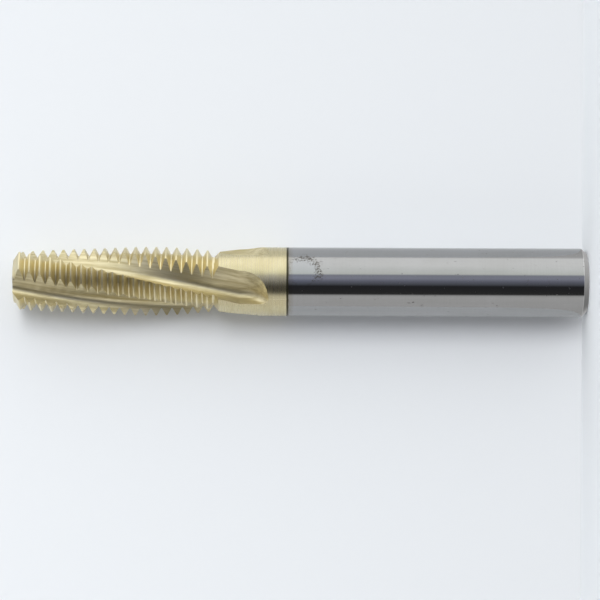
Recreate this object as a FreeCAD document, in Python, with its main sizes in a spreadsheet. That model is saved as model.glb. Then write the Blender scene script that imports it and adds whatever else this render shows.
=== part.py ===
"""Thread mill: a helically fluted, form-relieved thread milling cutter, one piece of solid carbide.

The tool stands on its shank end. Its axis is +Z, the origin is the centre of the shank's end
face, and lengths are in millimetres. It is made in the order in which such a tool is ground:
a blank is turned, rings of teeth are formed on its head, each relieved behind its cutting
edge, and a wheel grinds the flutes and swings out of each of them in an arc on the neck.
"""
import FreeCAD, Part
import math
import os

import Sketcher

Vector = FreeCAD.Vector
Rotation = FreeCAD.Rotation
Placement = FreeCAD.Placement
ORIGIN = Vector(0, 0, 0)
Z_AXIS = Vector(0, 0, 1)
WHOLE_TURN = 360.0
QUARTER_TURN = 90.0

doc = FreeCAD.newDocument("thread_mill")


# Driving dimensions, one row each: name, value, what it is

SIZES = [
    ("overall_length", 100.0, "shank end to tip face"),
    ("shank_diameter", 12.0, "plain cylindrical shank"),
    ("shank_end_chamfer", 0.9, "45 degree chamfer at the shank end"),
    ("head_length", 35.85, "tip face to the shoulder behind the last groove"),
    ("neck_diameter", 11.7, "small end of the slightly coned neck, at that shoulder"),
    ("neck_cone_length", 6.3, "shoulder to where the neck meets the shank"),
    ("cutting_diameter", 12.0, "over the tooth crests, at the cutting edges"),
    ("tooth_pitch", 1.814, "crest to crest, 14 rings to the inch"),
    ("tooth_depth", 1.2, "crest to root, at the cutting edge"),
    ("tooth_crest_flat", 0.24, "width of the flat on a crest"),
    ("tooth_half_angle", 30.0, "a flank's lean from the tooth's middle plane, degrees"),
    ("ring_count", 19, "rings of teeth along the head"),
    ("tip_setback", 1.22, "tip face to the middle of the first crest"),
    ("core_share", 0.81, "core that carries the teeth, part of the root radius at the edge"),
    ("land_ahead", 8.0, "how far a land is left whole before its flute is cut, degrees"),
    ("land_behind", 72.0, "the same behind its cutting edge, degrees"),
    ("relief_offset", 1.06, "centre of a land's relief arc, off the tool's axis"),
    ("flute_count", 4, "flutes, and so lands"),
    ("flute_lead", 141.7, "length in which a flute goes once round, right-handed"),
    ("flute_core_diameter", 6.8, "circle that the flute floors touch"),
    ("flute_floor_slope", 4.0, "floor off square to the rake face, degrees"),
    ("flute_corner_radius", 1.2, "hollow between rake face and floor"),
    ("hollow_flats", 3, "narrow flats that the hollow is laid out in"),
    ("flute_length", 39.4, "tip face to where a flute starts to run out"),
    ("run_out_radius", 6.3, "arc on which its floor swings out"),
    ("cutter_reach", 1.5, "how far the cuts run past the tool's surface"),
    ("edge_angle", 228.8, "first rake face where the run-outs start, from +X, degrees"),
]

sheet = doc.addObject("Spreadsheet::Sheet", "sizes")
for row, (name, value, meaning) in enumerate(SIZES, start=1):
    sheet.set(f"A{row}", name)
    sheet.set(f"B{row}", str(value))
    sheet.set(f"C{row}", meaning)
    sheet.setAlias(f"B{row}", name)
doc.recompute()


def size(name):
    """A driving dimension, read from the sheet."""
    return float(sheet.get(name))


def origin_item(body, role):
    """One of a body's own origin planes or axes."""
    return next(item for item in body.Origin.OriginFeatures if item.Role == role)


def sketch_on(body, name, role):
    """A sketch of this body, lying on one of its origin planes."""
    sketch = body.newObject("Sketcher::SketchObject", name)
    sketch.AttachmentSupport = [(origin_item(body, role), "")]
    sketch.MapMode = "FlatFace"
    return sketch


def draw_outline(sketch, corners):
    """A closed straight-sided outline: each corner is two formulas of the sheet's sizes."""
    values = [[float(sketch.evalExpression(formula)) for formula in corner] for corner in corners]
    points = [Vector(across, up, 0) for across, up in values]
    for start, end in zip(points, points[1:] + points[:1]):
        sketch.addGeometry(Part.LineSegment(start, end), False)
    for edge in range(len(points)):
        sketch.addConstraint(Sketcher.Constraint("Coincident", edge, 2, (edge + 1) % len(points), 1))
    for edge, corner in enumerate(corners):
        for kind, formula, value in zip(("DistanceX", "DistanceY"), corner, values[edge]):
            number = sketch.addConstraint(Sketcher.Constraint(kind, -1, 1, edge, 1, value))
            sketch.setExpression(f"Constraints[{number}]", formula)


# The blank: chamfered shank, neck, shoulder, and a core that the teeth stand on

SHANK_RADIUS = "sizes.shank_diameter / 2"
NECK_RADIUS = "sizes.neck_diameter / 2"
CORE_RADIUS = "(sizes.cutting_diameter / 2 - sizes.tooth_depth) * sizes.core_share"
SHOULDER = "sizes.overall_length - sizes.head_length"
SHOULDER_RUN = f"({NECK_RADIUS} - {CORE_RADIUS}) * tan(sizes.tooth_half_angle)"

blank = doc.addObject("PartDesign::Body", "blank")
blank_profile = sketch_on(blank, "blank_profile", "XZ_Plane")
draw_outline(blank_profile, [
    ("0", "0"),
    (f"{SHANK_RADIUS} - sizes.shank_end_chamfer", "0"),
    (SHANK_RADIUS, "sizes.shank_end_chamfer"),
    (SHANK_RADIUS, f"{SHOULDER} - sizes.neck_cone_length"),
    (NECK_RADIUS, SHOULDER),
    (CORE_RADIUS, f"{SHOULDER} + {SHOULDER_RUN}"),
    (CORE_RADIUS, "sizes.overall_length"),
    ("0", "sizes.overall_length"),
])
turning = blank.newObject("PartDesign::Revolution", "turning")
turning.Profile = blank_profile
turning.ReferenceAxis = (origin_item(blank, "Z_Axis"), [""])
turning.Angle = WHOLE_TURN
blank.Tip = turning
doc.recompute()


# The teeth: annular rings without lead. On each land a ring turns about a centre that lies off
# the tool's axis, ahead of the cutting edge, so that crest, flanks and root all fall away
# behind the edge. The lands wind with the flutes, so that each ring starts a little later.

def edge_turn(height):
    """How far a cutting edge has wound round at a height, from where the flutes run out."""
    flute_end = size("overall_length") - size("flute_length")
    return (height - flute_end) * WHOLE_TURN / size("flute_lead")


def ring_section(below, above, open_tip):
    """Section of one ring about its relief centre, from below to above its crest's middle."""
    crest = math.hypot(size("cutting_diameter") / 2, size("relief_offset"))
    root = crest - size("tooth_depth")
    half_flat = size("tooth_crest_flat") / 2
    lean = math.tan(math.radians(size("tooth_half_angle")))
    foot = half_flat + size("tooth_depth") * lean
    outline = [(0, -below), (root, -below), (root, -foot), (crest, -half_flat), (crest, half_flat)]
    if open_tip:
        outline += [(crest - (above - half_flat) / lean, above), (0, above)]
    else:
        outline += [(root, foot), (0, foot)]
    points = [Vector(radius, 0, height) for radius, height in outline]
    return Part.Face(Part.makePolygon(points + points[:1]))


def land_tooth(below, above, open_tip=False):
    """One ring's share of one land: the relieved ring, cut off beyond both walls of the land."""
    kept = size("land_ahead") + size("land_behind")
    ring = ring_section(below, above, open_tip).revolve(ORIGIN, Z_AXIS, WHOLE_TURN)
    ring.translate(Vector(0, size("relief_offset"), 0))
    sector = Part.makeCylinder(
        size("cutting_diameter"), below + above, Vector(0, 0, -below), Z_AXIS, kept)
    sector.rotate(ORIGIN, Z_AXIS, -size("land_behind"))
    return ring.common(sector)


def all_teeth():
    """Every tooth of every land, each at its own height and turn.

    A plain tooth reaches from the root flat below it, which it has whole, up to the next one.
    """
    lean = math.tan(math.radians(size("tooth_half_angle")))
    to_foot = size("tooth_crest_flat") / 2 + size("tooth_depth") * lean
    to_next = size("tooth_pitch") - to_foot
    first_crest = size("overall_length") - size("tip_setback")
    last_ring = int(size("ring_count")) - 1
    last_crest = first_crest - last_ring * size("tooth_pitch")
    to_shoulder = last_crest - (size("overall_length") - size("head_length"))
    plain = land_tooth(to_next, to_foot)
    at_tip = land_tooth(to_next, size("tip_setback"), open_tip=True)
    at_neck = land_tooth(to_shoulder, to_foot)
    teeth = []
    for ring in range(last_ring + 1):
        height = first_crest - ring * size("tooth_pitch")
        kind = at_tip if ring == 0 else at_neck if ring == last_ring else plain
        for land in range(int(size("flute_count"))):
            tooth = kind.copy()
            turn = edge_turn(height) + land * WHOLE_TURN / size("flute_count")
            tooth.rotate(ORIGIN, Z_AXIS, turn)
            tooth.translate(Vector(0, 0, height))
            teeth.append(tooth)
    return teeth


rings = doc.addObject("Part::Feature", "ring_teeth")
rings.Shape = Part.Compound(all_teeth())

toothed = doc.addObject("Part::Feature", "toothed_blank")
toothed.Shape = blank.Shape.multiFuse(rings.Shape.Solids).removeSplitter()
doc.recompute()


# The flutes: straight radial rake face, hollow corner, nearly flat floor up to the heel

FLOOR_DISTANCE = "sizes.flute_core_diameter / 2"
SLOPE = "sizes.flute_floor_slope"
HOLLOW = "sizes.flute_corner_radius"
REACH = "max(sizes.cutting_diameter; sizes.shank_diameter) / 2 + sizes.cutter_reach"
FLOOR_AT_RAKE = f"{FLOOR_DISTANCE} / cos({SLOPE})"
HOLLOW_CENTRE = f"({FLOOR_DISTANCE} + {HOLLOW} - {HOLLOW} * sin({SLOPE})) / cos({SLOPE})"
FLUTE_END = "sizes.overall_length - sizes.flute_length"


def draw_flute_section(sketch, start):
    """The flute's section, as seen along it: across is measured from start, up is ahead."""
    corners = [(f"({FLOOR_DISTANCE} - ({REACH}) * sin({SLOPE})) / cos({SLOPE})", REACH)]
    flats = int(size("hollow_flats"))
    for step in range(flats + 1):
        turn = f"({SLOPE} + (90 - {SLOPE}) * {step} / {flats})"
        corners.append((f"{HOLLOW_CENTRE} - {HOLLOW} * cos({turn})", f"{HOLLOW} * (1 - sin({turn}))"))
    corners += [(REACH, "0"), (REACH, REACH)]
    draw_outline(sketch, [(f"{across} - ({start})", up) for across, up in corners])


mill = doc.addObject("PartDesign::Body", "thread_mill")
mill.Label = "thread_mill"
mill.BaseFeature = toothed
doc.recompute()

flute_section = sketch_on(mill, "flute_section", "XY_Plane")
flute_section.setExpression("AttachmentOffset.Base.z", FLUTE_END)
draw_flute_section(flute_section, "0")

flute = mill.newObject("PartDesign::SubtractiveHelix", "flute")
flute.Profile = flute_section
flute.ReferenceAxis = (origin_item(mill, "Z_Axis"), [""])
flute.Mode = "pitch-height-angle"
flute.HasBeenEdited = True
flute.setExpression("Pitch", "sizes.flute_lead")
flute.setExpression("Height", "sizes.flute_length + sizes.cutter_reach")
doc.recompute()

run_out_section = sketch_on(mill, "run_out_section", "XY_Plane")
run_out_section.setExpression("AttachmentOffset.Base.x", f"{FLOOR_AT_RAKE} + sizes.run_out_radius")
run_out_section.setExpression("AttachmentOffset.Base.z", FLUTE_END)
draw_flute_section(run_out_section, f"{FLOOR_AT_RAKE} + sizes.run_out_radius")

run_out = mill.newObject("PartDesign::Groove", "run_out")
run_out.Profile = run_out_section
run_out.ReferenceAxis = (run_out_section, ["V_Axis"])
run_out.Angle = QUARTER_TURN
run_out.Reversed = True
doc.recompute()

flutes = mill.newObject("PartDesign::PolarPattern", "flutes")
flutes.Originals = [flute, run_out]
flutes.Axis = (origin_item(mill, "Z_Axis"), [""])
flutes.Angle = WHOLE_TURN
flutes.setExpression("Occurrences", "sizes.flute_count")
mill.Tip = flutes
mill.Placement = Placement(ORIGIN, Rotation(Z_AXIS, 1))
mill.setExpression("Placement.Rotation.Angle", "sizes.edge_angle")
doc.recompute()


# Every object is sound before the piece is written

for item in doc.Objects:
    if "Invalid" in item.State or "Error" in item.State:
        raise RuntimeError(f"{item.Label} could not be made: {item.State}")
for piece in (blank, toothed, mill):
    if piece.Shape.isNull() or not piece.Shape.isValid():
        raise RuntimeError(f"{piece.Label} has no sound shape")
if len(mill.Shape.Solids) != 1:
    raise RuntimeError(f"the thread mill came out as {len(mill.Shape.Solids)} solids")

os.makedirs("parts", exist_ok=True)
mill.Shape.exportStep("parts/thread_mill.step")
print(f"thread_mill: {mill.Shape.Volume:.1f} mm3, {len(mill.Shape.Faces)} faces")
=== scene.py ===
"""Thread mill, dressed: a gold-coated, helically fluted head on a bare ground carbide shank.

The tool stands on its shank end at the origin with its axis along +Z, in metres. It is one
piece, so it is one mesh: its form follows a rule, and one tree of geometry nodes makes it.
"""
import math

import bpy
from mathutils import Matrix, Vector


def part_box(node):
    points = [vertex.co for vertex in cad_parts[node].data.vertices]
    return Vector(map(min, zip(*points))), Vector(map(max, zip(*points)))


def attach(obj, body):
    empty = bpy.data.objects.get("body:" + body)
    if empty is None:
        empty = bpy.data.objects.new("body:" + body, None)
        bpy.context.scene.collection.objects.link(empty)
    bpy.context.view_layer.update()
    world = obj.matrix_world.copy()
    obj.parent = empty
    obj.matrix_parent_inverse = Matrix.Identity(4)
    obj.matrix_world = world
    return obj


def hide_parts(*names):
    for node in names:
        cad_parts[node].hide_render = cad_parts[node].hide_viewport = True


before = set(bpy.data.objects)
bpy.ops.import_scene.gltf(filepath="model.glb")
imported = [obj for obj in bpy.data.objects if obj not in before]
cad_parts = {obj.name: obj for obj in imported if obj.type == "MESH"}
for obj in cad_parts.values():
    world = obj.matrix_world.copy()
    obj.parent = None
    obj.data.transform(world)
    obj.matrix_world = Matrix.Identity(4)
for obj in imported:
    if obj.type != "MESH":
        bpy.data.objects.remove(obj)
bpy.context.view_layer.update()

MM = 0.001
tool_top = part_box("thread_mill")[1][2]


# The tool's form. The real one is ground from a round carbide blank: rings of teeth without
# lead run round its head, each land relieved behind its cutting edge about a centre off the
# axis, and four right-hand flutes swing out in an arc on the neck.

TIP_CLEARANCE = 0.00002 * MM  # keeps the tip inside the solid's box in single precision
FORM = {
    "length": tool_top - TIP_CLEARANCE,
    "shank radius": 6.0 * MM,
    "end chamfer": 0.9 * MM,
    "coating edge": 52.4 * MM,
    "shoulder": 64.15 * MM,
    "neck radius": 5.85 * MM,
    "neck length": 6.3 * MM,
    "cutting radius": 6.0 * MM,
    "pitch": 1.814 * MM,
    "tooth depth": 1.2 * MM,
    "crest flat": 0.24 * MM,
    "flank lean": math.tan(math.radians(30.0)),
    "last ring": 18.0,
    "tip setback": 1.22 * MM,
    "relief offset": 1.06 * MM,
    "floor distance": 3.4 * MM,
    "floor slope": math.radians(4.0),
    "hollow radius": 1.2 * MM,
    "turn per metre": 2 * math.pi / (141.7 * MM),
    "core radius": 3.888 * MM,
    "core ring": 2.5 * MM,
    "run-out start": 60.6 * MM,
    "run-out radius": 6.3 * MM,
    "run-out end": 55.487 * MM,
    "edge angle": math.radians(228.8),
}
FLUTES = 4

# Columns of faces across a flute and its land, and rows of them down the tool
RAKE_COLUMNS, HOLLOW_COLUMNS, FLOOR_COLUMNS, LAND_COLUMNS = 4, 8, 12, 20
TIP_FACE_ROWS, TIP_FLANK_ROWS, FLANK_ROWS = 2, 3, 4
SHOULDER_ROWS, NECK_ROWS, SWING_ROWS, RUN_OUT_ROWS = 8, 10, 12, 36
COATED_ROWS, SHANK_ROWS, END_FACE_ROWS = 3, 12, 2
PITCH_ROWS = 2 + 2 * FLANK_ROWS
SEARCH_STEPS = 14
CORE_LAG = math.radians(12.0)  # from a rake face back to the core ring's first column
CUTTER_START = 1.25  # where a flute's section starts, in shank radii
HAIR = 1e-7
LEAST_RADIUS = 1e-6
WELD_DISTANCE = 0.0004 * MM
SMOOTH_UP_TO = math.radians(28.0)


class Field:
    """A value that the nodes work out at every point; arithmetic on it adds Math nodes."""

    def __init__(self, nodes, socket):
        self.nodes = nodes
        self.socket = socket

    def math(self, operation, *others):
        node = self.nodes.new("ShaderNodeMath")
        node.operation = operation
        for value, socket in zip((self, *others), node.inputs):
            if isinstance(value, Field):
                self.nodes.id_data.links.new(value.socket, socket)
            else:
                socket.default_value = value
        return Field(self.nodes, node.outputs[0])

    def __add__(self, other):
        return self.math("ADD", other)

    def __sub__(self, other):
        return self.math("SUBTRACT", other)

    def __mul__(self, other):
        return self.math("MULTIPLY", other)

    def __truediv__(self, other):
        return self.math("DIVIDE", other)

    def __neg__(self):
        return self * -1.0

    def __rsub__(self, other):
        return -self + other

    def above(self, other):
        return self.math("GREATER_THAN", other)

    def at_least(self, other):
        return self.math("MAXIMUM", other)

    def at_most(self, other):
        return self.math("MINIMUM", other)

    def share(self, start, count):
        """How far this has come, 0 to 1, along count steps from start."""
        return ((self - start) / count).at_least(0.0).at_most(1.0)

    def root(self):
        return self.at_least(0.0).math("SQRT")

    def sine(self):
        return self.math("SINE")

    def cosine(self):
        return self.math("COSINE")

    def floor(self):
        return self.math("FLOOR")


def pick(choice, yes, no):
    """yes where choice is 1 and no where it is 0."""
    return no + (yes - no) * choice


def angle_of(across, up):
    return up.math("ARCTAN2", across)


tree = bpy.data.node_groups.new("ground_tool", "GeometryNodeTree")
nodes = tree.nodes
tree.interface.new_socket("Geometry", in_out="OUTPUT", socket_type="NodeSocketGeometry")
inputs = {
    name: tree.interface.new_socket(name, in_out="INPUT", socket_type="NodeSocketFloat")
    for name in FORM
}
for name in ("land finish", "flute finish", "bare finish"):
    inputs[name] = tree.interface.new_socket(
        name, in_out="INPUT", socket_type="NodeSocketMaterial")
given = nodes.new("NodeGroupInput")
form = {name: Field(nodes, given.outputs[name]) for name in FORM}

flute_columns = RAKE_COLUMNS + HOLLOW_COLUMNS + FLOOR_COLUMNS
sector_columns = flute_columns + LAND_COLUMNS
columns = FLUTES * sector_columns + 1
first_crest_row = TIP_FACE_ROWS + TIP_FLANK_ROWS
rings_below = int(FORM["last ring"])
first_foot_row = 1 + FLANK_ROWS
on_neck = SHOULDER_ROWS + NECK_ROWS + SWING_ROWS + RUN_OUT_ROWS
shank_row = first_foot_row + on_neck + COATED_ROWS
end_face_row = shank_row + SHANK_ROWS + 1
rows = first_crest_row + rings_below * PITCH_ROWS + end_face_row + END_FACE_ROWS + 1

grid = nodes.new("GeometryNodeMeshGrid")
grid.inputs["Vertices X"].default_value = rows
grid.inputs["Vertices Y"].default_value = columns
index = Field(nodes, nodes.new("GeometryNodeInputIndex").outputs[0])
row = ((index + 0.5) / float(columns)).floor()
column = index - row * float(columns)
sector = ((column + 0.5) / float(sector_columns)).floor()
within = column - sector * float(sector_columns)


# Height of each row, down from the tip: a crest's flat, a flank, a root's flat and a flank for
# every ring, then the shoulder, the neck, where rows crowd towards the run-out's end, and the
# shank. Rows at both ends close the faces.

crest_half = form["crest flat"] / 2.0
flank_run = form["tooth depth"] * form["flank lean"]
root_flat = form["pitch"] - form["crest flat"] - flank_run * 2.0
first_crest = form["length"] - form["tip setback"]
below_tip = row - float(first_crest_row)
ring = (below_tip / float(PITCH_ROWS)).floor().at_least(0.0).at_most(form["last ring"])
step = below_tip - ring * float(PITCH_ROWS)
on_last = ring.above(rings_below - 0.5)
last_crest = first_crest - form["last ring"] * form["pitch"]
last_foot = last_crest - crest_half - flank_run
neck_end = form["shoulder"] - form["neck length"]
last_drop, next_row = 0.0, first_foot_row
for count, top, bottom in (
    (SHOULDER_ROWS, last_foot, form["shoulder"]),
    (NECK_ROWS, form["shoulder"], form["run-out start"]),
    (SWING_ROWS, form["run-out start"], neck_end),
    (RUN_OUT_ROWS, neck_end, form["run-out end"]),
    (COATED_ROWS, form["run-out end"], form["coating edge"]),
    (SHANK_ROWS, form["coating edge"], form["end chamfer"]),
    (1, form["end chamfer"], 0.0),
):
    done = step.share(float(next_row), float(count))
    if count == RUN_OUT_ROWS:
        done = done * (2.0 - done)
    last_drop = (top - bottom) * done + last_drop
    next_row += count
plain_drop = (
    root_flat * step.share(float(first_foot_row), 1.0)
    + flank_run * step.share(float(first_foot_row + 1), float(FLANK_ROWS))
)
height = (
    form["length"]
    - (form["tip setback"] - crest_half) * row.share(float(TIP_FACE_ROWS), float(TIP_FLANK_ROWS))
    - ring * form["pitch"]
    - form["crest flat"] * step.share(0.0, 1.0)
    - flank_run * step.share(1.0, float(FLANK_ROWS))
    - pick(on_last, last_drop, plain_drop)
)
closing = (step * on_last).share(float(end_face_row), float(END_FACE_ROWS))
spread = row.share(0.0, float(TIP_FACE_ROWS)) * (1.0 - closing)


# The land's arc at this height, about its relief centre, and the round of neck and shank

rings_down = ((first_crest - height) / form["pitch"]).math("ROUND")
nearest = rings_down.at_least(0.0).at_most(form["last ring"])
from_crest = (first_crest - height - nearest * form["pitch"]).math("ABSOLUTE")
groove_limit = pick(height.above(first_crest), 1.0, form["tooth depth"])
groove = ((from_crest - crest_half) / form["flank lean"]).at_least(0.0).at_most(groove_limit)
offset = form["relief offset"]
relief = (form["cutting radius"] * form["cutting radius"] + offset * offset).root() - groove
collar = form["neck radius"] - (height - form["shoulder"]).at_least(0.0) / form["flank lean"]
collar = collar.at_least(form["core radius"])
cone = ((form["shoulder"] - height) / form["neck length"]).at_least(0.0).at_most(1.0)
end_bevel = (form["end chamfer"] - height).at_least(0.0)
round_radius = form["neck radius"] + (form["shank radius"] - form["neck radius"]) * cone - end_bevel
in_head = height.above(form["shoulder"] + HAIR)


# The flute's section: down the rake face from far outside, round the hollow, out on the floor

slope = form["floor slope"]
slope_sine = slope.sine()
slope_cosine = slope.cosine()
hollow = form["hollow radius"]
outside = form["shank radius"] * CUTTER_START
hollow_middle = (form["floor distance"] + hollow - hollow * slope_sine) / slope_cosine
rake_end = outside - hollow_middle
hollow_turn = math.pi / 2 - slope
hollow_end = rake_end + hollow * hollow_turn


def section_point(along):
    """The point of the section that lies so far along it."""
    turn = ((along - rake_end) / hollow).at_least(0.0).at_most(hollow_turn)
    floor = (along - hollow_end).at_least(0.0)
    across = outside - along.at_most(rake_end) - hollow * turn.sine() - slope_sine * floor
    up = hollow * (1.0 - turn.cosine()) + slope_cosine * floor
    return across, up


# Where a flute runs out, that section swings out of the tool about a line in front of it

floor_at_rake = form["floor distance"] / slope_cosine
swing_middle = floor_at_rake + form["run-out radius"]
swung = form["run-out start"] - height.at_least(form["run-out end"]).at_most(form["run-out start"])


def flute_point(along):
    """The same point at this row's height, swung out by as much as it lies below the start."""
    across, up = section_point(along)
    arm = swing_middle - across
    return swing_middle - (arm * arm - swung * swung).root(), up


def crossing(outer, inner):
    """Where the section passes out through the neck, by halving between two of its points."""
    first = nodes.new("GeometryNodeRepeatInput")
    last = nodes.new("GeometryNodeRepeatOutput")
    first.pair_with_output(last)
    last.repeat_items.clear()
    first.inputs["Iterations"].default_value = SEARCH_STEPS
    for name, value in (("outer", outer), ("inner", inner)):
        last.repeat_items.new("FLOAT", name)
        tree.links.new(value.socket, first.inputs[name])
    outer, inner = Field(nodes, first.outputs["outer"]), Field(nodes, first.outputs["inner"])
    middle = (outer + inner) / 2.0
    across, up = flute_point(middle)
    is_out = (across * across + up * up).above(round_radius * round_radius)
    tree.links.new(pick(is_out, middle, outer).socket, last.inputs["outer"])
    tree.links.new(pick(is_out, inner, middle).socket, last.inputs["inner"])
    return Field(nodes, last.outputs["outer"])


edge_radius = (relief * relief - offset * offset).root().at_least(collar)
head_start = outside - edge_radius
foot_across = hollow_middle - hollow * slope_cosine
foot_along = slope_cosine * hollow * (1.0 - slope_sine) - slope_sine * foot_across
distance = form["floor distance"]


def floor_length(centre_offset, radius):
    """Along the floor to an arc whose centre lies so far off the axis."""
    inside = radius * radius - distance * distance - centre_offset * centre_offset
    shift = centre_offset * slope_sine
    reach = (shift * shift + inside - distance * centre_offset * slope_cosine * 2.0).root()
    return shift + reach - foot_along


to_heel = floor_length(offset, relief)
to_collar = floor_length(offset * 0.0, collar)
head_end = hollow_end + to_heel.at_least(to_collar)
start = pick(in_head, head_start, crossing(hollow_end * 0.0, hollow_end))
end = pick(in_head, head_end, crossing(hollow_end + outside, hollow_end))

rake_stop = start.at_least(rake_end)
hollow_stop = rake_stop.at_least(hollow_end)
along = (
    start
    + (rake_stop - start) * within.share(0.0, float(RAKE_COLUMNS))
    + (hollow_stop - rake_stop) * within.share(float(RAKE_COLUMNS), float(HOLLOW_COLUMNS))
    + (end - hollow_stop) * within.share(float(RAKE_COLUMNS + HOLLOW_COLUMNS), float(FLOOR_COLUMNS))
)
flute_across, flute_up = flute_point(along)
heel_across, heel_up = flute_point(end)
edge_across, edge_up = flute_point(start)
heel_angle = angle_of(heel_across, heel_up)
next_edge_angle = angle_of(edge_across, edge_up) + 2 * math.pi / FLUTES
land_share = within.share(float(flute_columns), float(LAND_COLUMNS))
land_angle = heel_angle + (next_edge_angle - heel_angle) * land_share
off_centre = offset * land_angle.sine()
relieved = (relief * relief - off_centre * off_centre).root() - offset * land_angle.cosine()
land_radius = pick(in_head, relieved.at_least(collar), round_radius)
on_land = land_share.above(0.0)
across = pick(on_land, land_radius * land_angle.cosine(), flute_across)
up = pick(on_land, land_radius * land_angle.sine(), flute_up)
too_far = (round_radius / (across * across + up * up).root().at_least(LEAST_RADIUS)).at_most(1.0)
held = pick(in_head, 1.0, too_far)


# Each row turns with the flutes' lead, down to where the flutes start to run out. The end
# faces close over an even ring round the core, a little behind the rake faces.

turned = (height.at_least(form["run-out start"]) - form["run-out start"]) * form["turn per metre"]
turn = form["edge angle"] + turned + sector * (2 * math.pi / FLUTES)
on_rim = spread.above(0.75)
on_core = spread.above(0.25) - on_rim
core_angle = within / float(sector_columns) * (2 * math.pi / FLUTES) - CORE_LAG
core_ring = form["core ring"] * on_core
across = across * held * on_rim + core_ring * core_angle.cosine()
up = up * held * on_rim + core_ring * core_angle.sine()
place = nodes.new("ShaderNodeCombineXYZ")
turned_x = across * turn.cosine() - up * turn.sine()
turned_y = across * turn.sine() + up * turn.cosine()
for value, socket in zip((turned_x, turned_y, height), place.inputs):
    tree.links.new(value.socket, socket)
shaped = nodes.new("GeometryNodeSetPosition")
tree.links.new(grid.outputs["Mesh"], shaped.inputs["Geometry"])
tree.links.new(place.outputs[0], shaped.inputs["Position"])

face_row = ((index + 0.5) / float(columns - 1)).floor()
face_column = index - face_row * float(columns - 1)
face_sector = ((face_column + 0.5) / float(sector_columns)).floor()
face_within = face_column - face_sector * float(sector_columns)
bare_row = first_crest_row + rings_below * PITCH_ROWS + shank_row
in_flute = face_within.math("LESS_THAN", flute_columns - 0.5)
is_fluted = in_flute * face_row.above(TIP_FACE_ROWS - 0.5)
is_bare = face_row.above(bare_row - 0.5)
last_geometry = shaped.outputs["Geometry"]
for name, faces in (("fluted", is_fluted), ("bare", is_bare)):
    store = nodes.new("GeometryNodeStoreNamedAttribute")
    store.data_type, store.domain = "BOOLEAN", "FACE"
    store.inputs["Name"].default_value = name
    tree.links.new(last_geometry, store.inputs["Geometry"])
    tree.links.new(faces.socket, store.inputs["Value"])
    last_geometry = store.outputs["Geometry"]

closed = nodes.new("GeometryNodeMergeByDistance")
closed.inputs["Distance"].default_value = WELD_DISTANCE
whole = nodes.new("GeometryNodeRealizeInstances")
for source, target in ((last_geometry, closed), (closed.outputs[0], whole)):
    tree.links.new(source, target.inputs[0])
last_geometry = whole.outputs[0]
for finish, faces in (("land finish", None), ("flute finish", "fluted"), ("bare finish", "bare")):
    dress = nodes.new("GeometryNodeSetMaterial")
    tree.links.new(last_geometry, dress.inputs["Geometry"])
    tree.links.new(given.outputs[finish], dress.inputs["Material"])
    if faces:
        chosen = nodes.new("GeometryNodeInputNamedAttribute")
        chosen.data_type = "BOOLEAN"
        chosen.inputs["Name"].default_value = faces
        tree.links.new(chosen.outputs["Attribute"], dress.inputs["Selection"])
    last_geometry = dress.outputs["Geometry"]
result = nodes.new("NodeGroupOutput")
tree.links.new(last_geometry, result.inputs[0])


# The finishes: the gold hard coating over ground lands and flutes, and the bare ground shank

def new_finish(name, metallic, roughness):
    """A metal with its shader ready, and the object's own coordinates to lay marks by."""
    finish = bpy.data.materials.new(name)
    finish.use_nodes = True
    shader = finish.node_tree.nodes["Principled BSDF"]
    shader.inputs["Metallic"].default_value = metallic
    shader.inputs["Roughness"].default_value = roughness
    coordinates = finish.node_tree.nodes.new("ShaderNodeTexCoord").outputs["Object"]
    return finish.node_tree, shader, coordinates


def marks(finish, coordinates, scale, stretch, detail=4.0, rough=0.6):
    """Cloudy marks of that many per metre, stretched along each axis; grinding lines when thin."""
    lay = finish.nodes.new("ShaderNodeMapping")
    lay.inputs["Scale"].default_value = stretch
    finish.links.new(coordinates, lay.inputs["Vector"])
    noise = finish.nodes.new("ShaderNodeTexNoise")
    noise.inputs["Scale"].default_value = scale
    noise.inputs["Detail"].default_value = detail
    noise.inputs["Roughness"].default_value = rough
    finish.links.new(lay.outputs[0], noise.inputs["Vector"])
    return noise.outputs["Fac"]


def ramp(finish, value, *stops):
    """Turns a value into a colour by stops of (place, colour)."""
    node = finish.nodes.new("ShaderNodeValToRGB")
    while len(node.color_ramp.elements) < len(stops):
        node.color_ramp.elements.new(0.5)
    for element, (where, colour) in zip(node.color_ramp.elements, stops):
        element.position = where
        element.color = (*colour, 1.0)
    finish.links.new(value, node.inputs["Fac"])
    return node.outputs["Color"]


def blend_colours(finish, amount, first, second, kind="MIX"):
    """Lays the second colour over the first by an amount, either of them a socket or a colour."""
    node = finish.nodes.new("ShaderNodeMix")
    node.data_type = "RGBA"
    node.blend_type = kind
    sockets = (node.inputs[0], node.inputs[6], node.inputs[7])
    for value, socket in zip((amount, first, second), sockets):
        if isinstance(value, bpy.types.NodeSocket):
            finish.links.new(value, socket)
        elif isinstance(value, float):
            socket.default_value = value
        else:
            socket.default_value = (*value, 1.0)
    return node.outputs[2]


def remap(finish, value, low, high, low_to, high_to):
    """The value moved from one range to another and held there."""
    node = finish.nodes.new("ShaderNodeMapRange")
    for number, socket in zip((low, high, low_to, high_to), node.inputs[1:5]):
        socket.default_value = number
    finish.links.new(value, node.inputs[0])
    return node.outputs[0]


def bumped(finish, shader, height, depth):
    """Lets the height mark the surface by a depth in metres."""
    node = finish.nodes.new("ShaderNodeBump")
    node.inputs["Distance"].default_value = depth
    finish.links.new(height, node.inputs["Height"])
    finish.links.new(node.outputs["Normal"], shader.inputs["Normal"])


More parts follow.
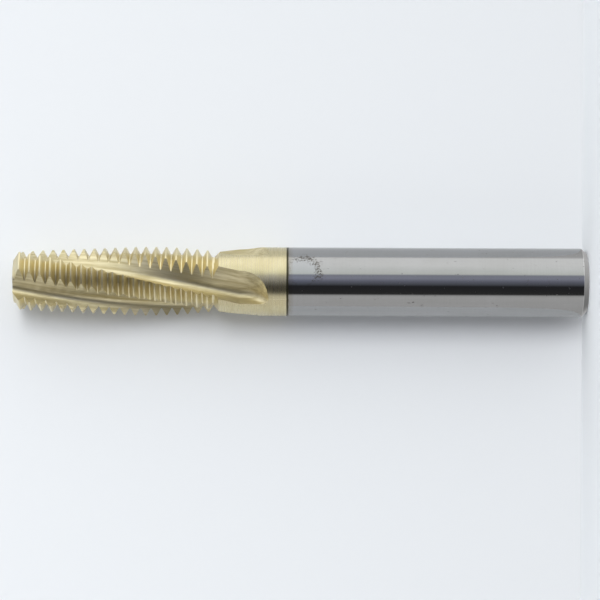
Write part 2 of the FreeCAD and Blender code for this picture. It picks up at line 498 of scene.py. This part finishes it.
COATING = ((0.74, 0.66, 0.42), (0.80, 0.72, 0.48), (0.85, 0.78, 0.56))
WHOLE = (1.0, 1.0, 1.0)
LAND_LINE_TONE, FLUTE_LINE_TONE = (0.93, 0.91, 0.86), (0.76, 0.73, 0.64)
NECK_TONE = (0.82, 0.82, 0.80)
LAND_DEPTH, FLUTE_DEPTH, SHANK_DEPTH = 0.003 * MM, 0.012 * MM, 0.0012 * MM
TEETH_DULLER = 0.10

land_tree, land_shader, land_place = new_finish("coated_land", 1.0, 0.2)
rings_ground = marks(land_tree, land_place, 900.0, (0.06, 0.06, 7.0))
cloud = marks(land_tree, land_place, 260.0, WHOLE, 5.0)
gold = ramp(land_tree, cloud, *zip((0.3, 0.5, 0.72), COATING))
lined = remap(land_tree, rings_ground, 0.3, 0.7, 0.0, 1.0)
land_colour = blend_colours(land_tree, lined, gold, LAND_LINE_TONE, "MULTIPLY")
land_split = land_tree.nodes.new("ShaderNodeSeparateXYZ")
land_tree.links.new(land_place, land_split.inputs[0])
on_teeth = Field(land_tree.nodes, land_split.outputs[2]).above(FORM["shoulder"])
on_neck_tone = blend_colours(land_tree, on_teeth.socket, NECK_TONE, WHOLE)
land_colour = blend_colours(land_tree, 1.0, land_colour, on_neck_tone, "MULTIPLY")
land_tree.links.new(land_colour, land_shader.inputs["Base Color"])
land_rough = Field(land_tree.nodes, remap(land_tree, rings_ground, 0.3, 0.7, 0.24, 0.30))
land_rough = land_rough + on_teeth * TEETH_DULLER
land_tree.links.new(land_rough.socket, land_shader.inputs["Roughness"])
bumped(land_tree, land_shader, rings_ground, LAND_DEPTH)

flute_tree, flute_shader, flute_place = new_finish("coated_flute", 1.0, 0.2)
flute_nodes = flute_tree.nodes
flute_split = flute_nodes.new("ShaderNodeSeparateXYZ")
flute_tree.links.new(flute_place, flute_split.inputs[0])
flute_z = Field(flute_nodes, flute_split.outputs[2])
unwound = flute_nodes.new("ShaderNodeVectorRotate")
unwound.rotation_type = "Z_AXIS"
flute_tree.links.new(flute_place, unwound.inputs["Vector"])
wound_by = (flute_z - FORM["run-out start"]).at_least(0.0) * -FORM["turn per metre"]
flute_tree.links.new(wound_by.socket, unwound.inputs["Angle"])
along_flute = unwound.outputs[0]
grain = marks(flute_tree, along_flute, 1900.0, (1.0, 1.0, 0.07), 3.0, 0.65)
flute_cloud = marks(flute_tree, flute_place, 300.0, (1.0, 1.0, 0.5), 5.0)
olive = ramp(flute_tree, flute_cloud, *zip((0.3, 0.55, 0.75), COATING))
in_grain = remap(flute_tree, grain, 0.38, 0.62, 1.0, 0.0)
flute_colour = blend_colours(flute_tree, in_grain, olive, FLUTE_LINE_TONE, "MULTIPLY")
flute_tree.links.new(flute_colour, flute_shader.inputs["Base Color"])
flute_rough = remap(flute_tree, grain, 0.35, 0.65, 0.50, 0.36)
flute_tree.links.new(flute_rough, flute_shader.inputs["Roughness"])
bumped(flute_tree, flute_shader, grain, FLUTE_DEPTH)

bare_tree, bare_shader, bare_place = new_finish("bare_carbide", 1.0, 0.1)
shank_lines = marks(bare_tree, bare_place, 900.0, (0.05, 0.05, 9.0))
shank_cloud = marks(bare_tree, bare_place, 180.0, (1.0, 1.0, 0.6), 6.0)
BARE = ((0.375, 0.375, 0.37), (0.395, 0.395, 0.395), (0.42, 0.42, 0.425))
SHANK_LINE_TONE, STREAK_TONE = (0.96, 0.96, 0.96), (0.90, 0.90, 0.90)
steel = ramp(bare_tree, shank_cloud, *zip((0.3, 0.6, 0.8), BARE))
in_lines = remap(bare_tree, shank_lines, 0.3, 0.7, 0.0, 1.0)
steel = blend_colours(bare_tree, in_lines, steel, SHANK_LINE_TONE, "MULTIPLY")

# On the shank beside the coating lies a ring of specks, such as a dried drop leaves. The
# coating ends in a dark line, with a brown tint that fades from it along the shank.
bare_nodes = bare_tree.nodes
split = bare_nodes.new("ShaderNodeSeparateXYZ")
bare_tree.links.new(bare_place, split.inputs[0])
at_x, at_y, at_z = (Field(bare_nodes, socket) for socket in split.outputs)
at_arc = angle_of(-at_y, at_x) * FORM["shank radius"]
DROP_ARC, DROP_Z, DROP_RADIUS = 1.9 * MM, 49.5 * MM, 2.6 * MM
DROP_RAGGED, DROP_SLANT, DROP_FADE = 2.2 * MM, 3.0 * MM, 0.4 * MM
RING_WIDTH, RING_LEAST = 1.0 * MM, 0.1 * MM
DARK_WIDTH, DARK_RAGGED, DARK_FADE, TINT_REACH = 0.42 * MM, 0.3 * MM, 0.12 * MM, 1.3 * MM
CORNER_HIGHLIGHT_WIDTH = 0.14 * MM
speckle = Field(bare_nodes, marks(bare_tree, bare_place, 3200.0, WHOLE, 2.0, 0.7))
ragged = Field(bare_nodes, marks(bare_tree, bare_place, 700.0, WHOLE, 3.0, 0.6))
drop_arc, drop_z = at_arc - DROP_ARC, at_z - DROP_Z
from_drop = (drop_arc * drop_arc + drop_z * drop_z).root() + (ragged - 0.5) * DROP_RAGGED
heavy_side = ((drop_arc - drop_z) / DROP_SLANT + 0.5).at_least(0.2).at_most(1.0)
ring_width = heavy_side * RING_WIDTH + RING_LEAST
on_ring = (1.0 - (from_drop - DROP_RADIUS).math("ABSOLUTE") / ring_width).at_least(0.0)
in_drop = ((DROP_RADIUS - from_drop) / DROP_FADE).at_least(0.0).at_most(1.0)
specks = ((speckle - 0.56 + on_ring * 0.12) * 12.0).at_least(0.0).at_most(1.0)
specks = specks * on_ring.at_most(0.5) * 2.0 * heavy_side
below_edge = (FORM["coating edge"] - at_z).at_least(0.0)
dark_reach = DARK_WIDTH - below_edge + (ragged - 0.5) * DARK_RAGGED
dark_line = (dark_reach / DARK_FADE).at_least(0.0).at_most(1.0)
tinted = (1.0 - below_edge / TINT_REACH).at_least(0.0) * (speckle * 1.6).at_most(1.0)
sparse = marks(bare_tree, bare_place, 2600.0, (1.0, 1.0, 0.6), 2.0, 0.4)
strays = Field(bare_nodes, remap(bare_tree, sparse, 0.72, 0.75, 0.0, 1.0))
lengthwise = marks(bare_tree, bare_place, 650.0, (1.0, 1.0, 0.05), 3.0, 0.5)
streaks = remap(bare_tree, lengthwise, 0.4, 0.66, 0.0, 0.5)
steel = blend_colours(bare_tree, streaks, steel, STREAK_TONE, "MULTIPLY")
# Painted highlight: a thin, speckled, lighter band of colour along the corner where the end chamfer
# meets the shank.
from_corner = (at_z - FORM["end chamfer"]).math("ABSOLUTE")
painted_corner_highlight = (1.0 - from_corner / CORNER_HIGHLIGHT_WIDTH).at_least(0.0)
for amount, tone in (
    # the painted highlight on the chamfer's corner
    (painted_corner_highlight * (speckle + 0.3) * 0.8, (0.62, 0.62, 0.62)),
    (in_drop * 0.25, (0.40, 0.43, 0.47)),
    (tinted * 0.7, (0.22, 0.18, 0.11)),
    (specks * 0.85, (0.11, 0.10, 0.09)),
    (strays * 0.6, (0.16, 0.15, 0.15)),
    (dark_line * 0.9, (0.05, 0.045, 0.018)),
):
    steel = blend_colours(bare_tree, amount.socket, steel, tone)
bare_tree.links.new(steel, bare_shader.inputs["Base Color"])
shank_rough = Field(bare_nodes, remap(bare_tree, shank_lines, 0.3, 0.7, 0.06, 0.11))
dulled = (specks + strays + dark_line).at_most(1.0)
bare_tree.links.new((shank_rough + dulled * 0.3).socket, bare_shader.inputs["Roughness"])
shank_relief = Field(bare_nodes, shank_lines) + dulled * 0.8
bumped(bare_tree, bare_shader, shank_relief.socket, SHANK_DEPTH)


# The tree is run once, and the plain mesh that it leaves is the piece

seed = bpy.data.objects.new("seed", bpy.data.meshes.new("seed"))
bpy.context.collection.objects.link(seed)
maker = seed.modifiers.new("ground_tool", "NODES")
maker.node_group = tree
for name, value in FORM.items():
    maker[inputs[name].identifier] = value
for name, finish in (
    ("land finish", "coated_land"),
    ("flute finish", "coated_flute"),
    ("bare finish", "bare_carbide"),
):
    maker[inputs[name].identifier] = bpy.data.materials[finish]
now = bpy.context.evaluated_depsgraph_get()
tool_mesh = bpy.data.meshes.new_from_object(seed.evaluated_get(now), depsgraph=now)
bpy.data.objects.remove(seed)
for name in ("fluted", "bare"):
    tool_mesh.attributes.remove(tool_mesh.attributes[name])
tool_mesh.name = "thread_mill_dressed"
tool_mesh.set_sharp_from_angle(angle=SMOOTH_UP_TO)
tool = bpy.data.objects.new("thread_mill_dressed", tool_mesh)
bpy.context.collection.objects.link(tool)
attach(tool, "root")
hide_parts("thread_mill")


# The stage: pale paper behind the tool takes its soft shadow, and a pale floor carries it.

PAPER_SHADE = (0.81, 0.835, 0.86)
PAPER_Y, PAPER_HALF_WIDTH, PAPER_HEIGHT, FLOOR_HALF = 6.3 * MM, 0.6, 0.8, 1.5
SHADE_IN_METAL = 0.78  # how much of the paper's shade metal reflects


def card(name, corners, finish):
    """A flat card of four corners, part of the stage."""
    mesh = bpy.data.meshes.new(name)
    mesh.from_pydata(corners, [], [tuple(range(len(corners)))])
    mesh.materials.append(finish)
    made = bpy.data.objects.new(name, mesh)
    bpy.context.collection.objects.link(made)
    return made


def paper(name, shade, own_light, in_metal):
    """Pale paper that takes shadow and isn't seen from behind; metal shows it by in_metal."""
    finish = bpy.data.materials.new(name)
    finish.use_nodes = True
    parts, links = finish.node_tree.nodes, finish.node_tree.links
    parts.clear()
    plain = parts.new("ShaderNodeBsdfDiffuse")
    plain.inputs["Color"].default_value = (*shade, 1.0)
    glow = parts.new("ShaderNodeEmission")
    glow.inputs["Color"].default_value = (*shade, 1.0)
    is_gloss = parts.new("ShaderNodeLightPath").outputs["Is Glossy Ray"]
    shone_on = remap(finish.node_tree, is_gloss, 0.0, 1.0, own_light, in_metal)
    links.new(shone_on, glow.inputs["Strength"])
    dimmed = tuple(value * SHADE_IN_METAL for value in shade)
    links.new(blend_colours(finish.node_tree, is_gloss, shade, dimmed), plain.inputs["Color"])
    seen = parts.new("ShaderNodeAddShader")
    links.new(plain.outputs[0], seen.inputs[0])
    links.new(glow.outputs[0], seen.inputs[1])
    clear = parts.new("ShaderNodeBsdfTransparent")
    side = parts.new("ShaderNodeMixShader")
    links.new(parts.new("ShaderNodeNewGeometry").outputs["Backfacing"], side.inputs[0])
    links.new(seen.outputs[0], side.inputs[1])
    links.new(clear.outputs[0], side.inputs[2])
    links.new(side.outputs[0], parts.new("ShaderNodeOutputMaterial").inputs[0])
    return finish


backing = paper("backing_paper", PAPER_SHADE, 0.01, 0.15)
standing = paper("floor_paper", PAPER_SHADE, 0.05, 0.05)
backdrop = card("backing", [
    (-PAPER_HALF_WIDTH, PAPER_Y, 0.0),
    (PAPER_HALF_WIDTH, PAPER_Y, 0.0),
    (PAPER_HALF_WIDTH, PAPER_Y, PAPER_HEIGHT),
    (-PAPER_HALF_WIDTH, PAPER_Y, PAPER_HEIGHT),
], backing)
backdrop.visible_shadow = False
floor = card("floor", [
    (-FLOOR_HALF, -FLOOR_HALF, 0.0),
    (FLOOR_HALF, -FLOOR_HALF, 0.0),
    (FLOOR_HALF, FLOOR_HALF, 0.0),
    (-FLOOR_HALF, FLOOR_HALF, 0.0),
], standing)
floor.visible_glossy = floor.visible_diffuse = False


# The studio round it: a broad window on the tool's +X side, dark where the camera stands, a
# plain pale wall on the other side. Metal shows it as bands along the shank.

studio = bpy.data.worlds.new("studio")
studio.use_nodes = True
bpy.context.scene.world = studio
around = studio.node_tree
ambient = around.nodes["Background"]
look = around.nodes.new("ShaderNodeSeparateXYZ")
around.links.new(around.nodes.new("ShaderNodeTexCoord").outputs["Generated"], look.inputs[0])
look_x, look_y, look_z = (Field(around.nodes, socket) for socket in look.outputs)
bearing = angle_of(-look_y, look_x) / (2 * math.pi) + 0.5
walls = ramp(
    around, bearing.socket,
    (0.10, (0.60, 0.60, 0.60)),
    (0.25, (0.74, 0.74, 0.74)),
    (0.355, (0.76, 0.76, 0.76)),
    (0.371, (0.66, 0.66, 0.66)),
    (0.384, (0.05, 0.05, 0.05)),
    (0.461, (0.035, 0.035, 0.04)),
    (0.478, (0.14, 0.15, 0.18)),
    (0.506, (0.25, 0.26, 0.34)),
    (0.533, (0.46, 0.48, 0.60)),
    (0.563, (0.44, 0.46, 0.55)),
    (0.573, (1.08, 1.12, 1.08)),
    (0.61, (1.20, 1.24, 1.22)),
    (0.66, (1.34, 1.36, 1.35)),
    (0.74, (1.36, 1.38, 1.37)),
    (0.76, (0.80, 0.80, 0.80)),
    (0.90, (0.60, 0.60, 0.60)),
)
steepness = look_z.math("ABSOLUTE")
steep = remap(around, steepness.socket, 0.3, 0.7, 0.0, 1.0)
end_walls = (look_x * 0.7 + 0.68).at_least(0.0)
all_round = blend_colours(around, steep, walls, end_walls.socket)
around.links.new(all_round, ambient.inputs["Color"])
behind = around.nodes.new("ShaderNodeBackground")
behind.inputs["Color"].default_value = (0.80, 0.84, 0.88, 1.0)
whole_view = around.nodes.new("ShaderNodeMixShader")
is_camera = around.nodes.new("ShaderNodeLightPath").outputs["Is Camera Ray"]
around.links.new(is_camera, whole_view.inputs[0])
around.links.new(ambient.outputs[0], whole_view.inputs[1])
around.links.new(behind.outputs[0], whole_view.inputs[2])
around.links.new(whole_view.outputs[0], around.nodes["World Output"].inputs["Surface"])

for name, strength, breadth, side in (
    ("window_lamp", 2.2, math.radians(30.0), (0.30, -0.75, 0.0)),
    ("ceiling_lamp", 0.5, math.radians(50.0), (0.05, -0.12, 1.0)),
):
    lamp = bpy.data.objects.new(name, bpy.data.lights.new(name, "SUN"))
    lamp.data.energy = strength
    lamp.data.angle = breadth
    lamp.visible_glossy = False
    lamp.rotation_mode = "QUATERNION"
    lamp.rotation_quaternion = Vector(side).to_track_quat("Z", "Y")
    bpy.context.collection.objects.link(lamp)

camera = bpy.data.objects.new("camera", bpy.data.cameras.new("camera"))
camera.data.sensor_width = 36.0
camera.data.lens = 154.26
camera.data.clip_start = 0.01
roll = math.radians(0.235)
right = Vector((math.sin(roll), 0.0, -math.cos(roll)))
upright = Vector((math.cos(roll), 0.0, math.sin(roll)))
towards = right.cross(upright)
frame_axes = Matrix((right, upright, towards)).transposed().to_4x4()
camera.matrix_world = Matrix.Translation((-0.0032, -0.45, 0.05003)) @ frame_axes
bpy.context.collection.objects.link(camera)
bpy.context.scene.camera = camera
bpy.context.scene.view_settings.view_transform = "Standard"
